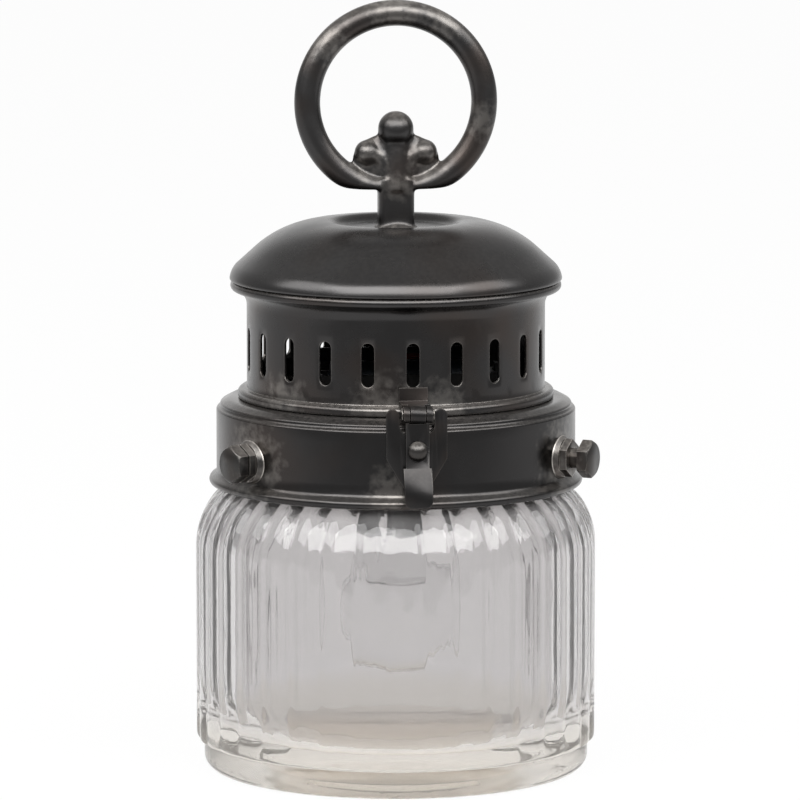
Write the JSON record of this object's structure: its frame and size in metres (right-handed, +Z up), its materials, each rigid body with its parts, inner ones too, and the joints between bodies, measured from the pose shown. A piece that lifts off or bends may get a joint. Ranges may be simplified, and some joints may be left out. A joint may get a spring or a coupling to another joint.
{
  "type": "table lantern",
  "caption": "Reeded glass jar lantern with a clamped metal collar, a hinged vented lid with domed cap and carrying ring, a hasp latch, and a globe bulb hung inside.",
  "frame": {"origin": "centre of the jar's foot, on the surface it stands on", "axes": "+Z up the lantern's axis, -Y towards the latch, +Y towards the hinge, +X to the viewer's right with the latch in front"},
  "size_m": [0.1206, 0.1218, 0.2326],
  "materials": {
    "jar_glass": "pressed soda glass with a faint smoky tint",
    "black_sheet": "blackened sheet steel, satin",
    "black_fasteners": "blackened steel fasteners, satin",
    "cast_handle": "blackened casting, satin",
    "black_gasket": "matt black rubber",
    "clear_bulb": "clear, polished",
    "black_moulding": "matt black moulding",
    "brass_cap": "plain brass",
    "cell_sleeve": "printed sleeve left plain",
    "contact_steel": "bright spring strip",
    "lead_sleeve": "black sleeve"
  },
  "bodies": {
    "base": {"glass_jar": "jar_glass", "collar_band": "black_sheet", "rim_gasket": "black_gasket", "collar_nuts": "black_fasteners", "hinge_leaf_collar": "black_sheet", "hinge_pin": "black_fasteners", "latch_plate": "black_sheet", "lamp_plate": "black_sheet", "plate_screws": "black_fasteners", "lamp_holder": "black_moulding", "holder_nut": "black_fasteners", "bulb_cap": "brass_cap", "bulb_base": "black_moulding", "light_guide": "clear_bulb", "bulb_globe": "clear_bulb", "battery_holder": "black_moulding", "battery_cells": "cell_sleeve", "battery_contacts": "contact_steel", "switch_body": "black_moulding", "lamp_leads": "lead_sleeve"},
    "lid": {"gallery_ring": "black_sheet", "dome_cap": "black_sheet", "ring_handle": "cast_handle", "handle_washer": "black_fasteners", "handle_nut": "black_fasteners", "hinge_leaf_lid": "black_sheet", "latch_bracket": "black_sheet", "latch_pin": "black_fasteners"},
    "hasp": {"latch_hasp": "black_sheet", "hasp_knob": "black_fasteners"},
    "screw_left": {"clamp_screw_left": "black_fasteners"},
    "screw_right": {"clamp_screw_right": "black_fasteners"},
    "screw_rear": {"clamp_screw_rear": "black_fasteners"},
    "switch_slider": {"switch_thumb": "black_moulding"}
  },
  "joints": [
    {"name": "lid_hinge", "type": "hinge", "parent": "base", "child": "lid", "pos_m": [0, 0.05648, 0.1149], "axis": [-1, 0, 0], "range_deg": [0, 105]},
    {"name": "hasp_pivot", "type": "hinge", "parent": "lid", "child": "hasp", "pos_m": [0, -0.05648, 0.1149], "axis": [-1, 0, 0], "range_deg": [0, 120]},
    {"name": "clamp_left", "type": "slide", "parent": "base", "child": "screw_left", "axis": [-0.866, -0.5, 0], "range_m": [0, 0.003]},
    {"name": "clamp_right", "type": "slide", "parent": "base", "child": "screw_right", "axis": [0.866, -0.5, 0], "range_m": [0, 0.003]},
    {"name": "clamp_rear", "type": "slide", "parent": "base", "child": "screw_rear", "axis": [0, 1, 0], "range_m": [0, 0.003]},
    {"name": "switch_slide", "type": "slide", "parent": "base", "child": "switch_slider", "axis": [0, 1, 0], "range_m": [0, 0.004]}
  ]
}
